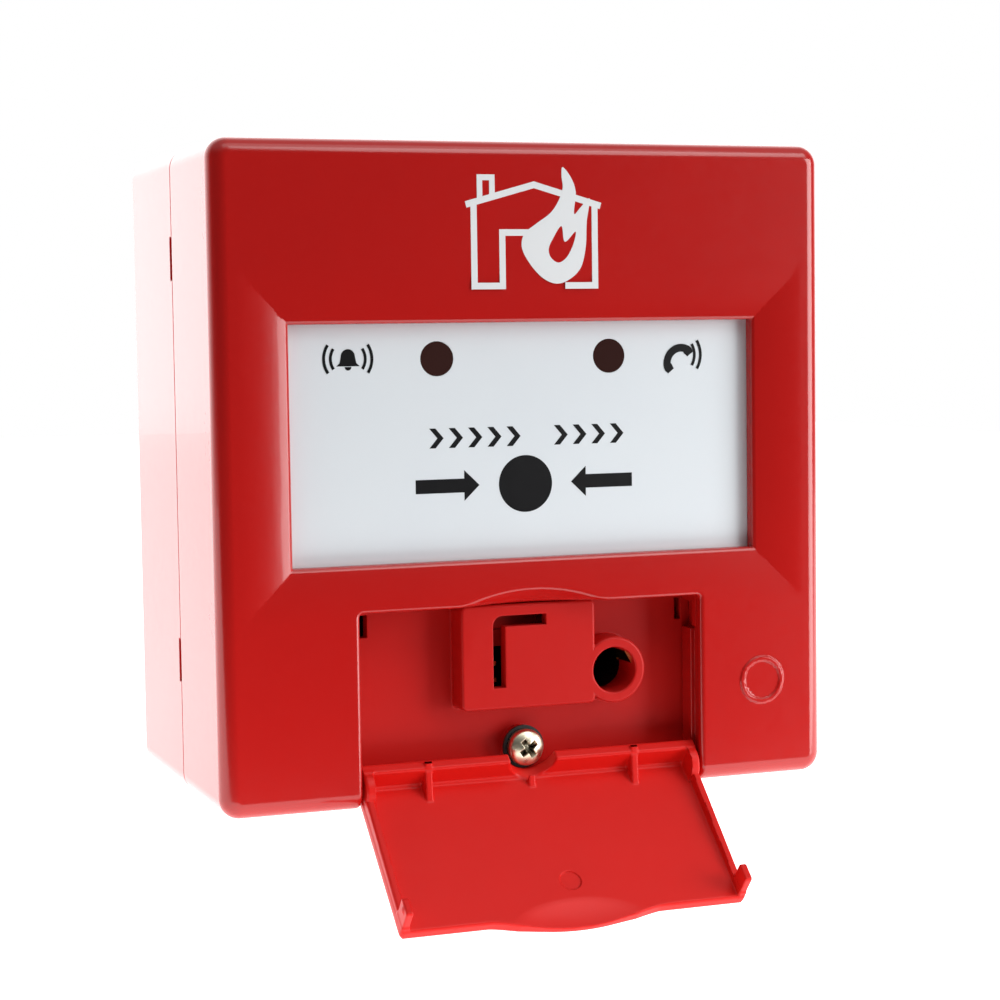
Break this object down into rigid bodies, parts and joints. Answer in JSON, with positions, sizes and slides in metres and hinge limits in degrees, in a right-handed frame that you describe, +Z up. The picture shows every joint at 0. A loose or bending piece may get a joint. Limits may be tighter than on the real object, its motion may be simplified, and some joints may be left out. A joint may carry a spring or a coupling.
{
  "type": "manual call point",
  "caption": "Wall-mounted manual call point with a press panel, signal lamps, and a flap door over a reset keyway and handset socket.",
  "frame": {"origin": "centre of the flat back face, on the wall", "axes": "+Z up, +Y into the wall, the front faces -Y, +X to the right seen from the front"},
  "size_m": [0.095, 0.0694, 0.1128],
  "materials": {
    "red_shell": "glossy moulded ABS, rounded edges",
    "red_inner": "moulded ABS, slightly duller",
    "white_panel": "white moulded ABS",
    "legend": "printed film under clear gloss",
    "smoked_lens": "dark smoked acrylic",
    "lamp_resin": "red tinted epoxy",
    "brass": "turned brass",
    "plated_brass": "bright passivated plating",
    "gold_contact": "gold flashed contact",
    "steel": "zinc plated",
    "black_rubber": "matt rubber",
    "black_plastic": "matt moulded nylon",
    "chip_resin": "fine matt epoxy",
    "capacitor_sleeve": "shrunk vinyl sleeve",
    "board": "solder mask over glass fibre"
  },
  "bodies": {
    "housing": {"rear_base": "red_shell", "cover_insert": "brass", "terminal_block": "black_plastic", "terminal_clamps": "brass", "terminal_screws": "steel", "terminal_block_screws": "steel", "front_cover": "red_shell", "cover_screw": "plated_brass", "screw_washer": "black_rubber", "chassis": "red_inner", "chassis_screws": "steel", "circuit_board": "board", "board_screws": "steel", "alarm_lamp": "lamp_resin", "phone_lamp": "lamp_resin", "lamp_leads": "steel", "controller_chip": "chip_resin", "alarm_relay": "black_plastic", "capacitors": "capacitor_sleeve", "resistors": "chip_resin", "plug_header": "black_plastic", "plug_pins": "gold_contact", "test_header": "black_plastic", "test_pins": "gold_contact", "switch_body": "black_plastic", "switch_terminals": "gold_contact", "jack_body": "black_plastic", "jack_contacts": "gold_contact", "rocker_pin": "steel", "toggle_spring": "steel"},
    "panel": {"press_panel": "white_panel", "legend_film": "legend", "alarm_window": "smoked_lens", "phone_window": "smoked_lens"},
    "rocker": {"reset_rocker": "white_panel"},
    "plunger": {"reset_plunger": "red_inner"},
    "lever": {"switch_lever": "steel"},
    "button": {"switch_button": "red_inner"},
    "door": {"door": "red_shell"}
  },
  "joints": [
    {"name": "door_hinge", "type": "hinge", "parent": "housing", "child": "door", "pos_m": [0, -0.0491, -0.04555], "axis": [-1, 0, 0], "range_deg": [0, 131]},
    {"name": "panel_press", "type": "slide", "parent": "housing", "child": "panel", "axis": [0, 1, 0], "range_m": [0, 0.0025]},
    {"name": "rocker_tilt", "type": "hinge", "parent": "housing", "child": "rocker", "pos_m": [0, -0.03855, -0.0167], "axis": [-1, 0, 0], "range_deg": [0, 25.35], "deforming": ["toggle_spring"]},
    {"name": "plunger_slide", "type": "slide", "parent": "housing", "child": "plunger", "axis": [0, -1, 0], "range_m": [0, 0.0025]},
    {"name": "lever_swing", "type": "hinge", "parent": "housing", "child": "lever", "pos_m": [-0.0056, -0.04095, -0.005], "axis": [0, 0, 1], "range_deg": [0, 11.83]},
    {"name": "button_press", "type": "slide", "parent": "housing", "child": "button", "axis": [0, 1, 0], "range_m": [0, 0.0008]}
  ],
  "couplings": [
    {"joint": "rocker_tilt", "follows": "panel_press", "rad_per_m": 176.88},
    {"joint": "plunger_slide", "follows": "panel_press", "ratio": 1},
    {"joint": "lever_swing", "follows": "panel_press", "rad_per_m": 82.552},
    {"joint": "button_press", "follows": "panel_press", "ratio": 0.312}
  ]
}
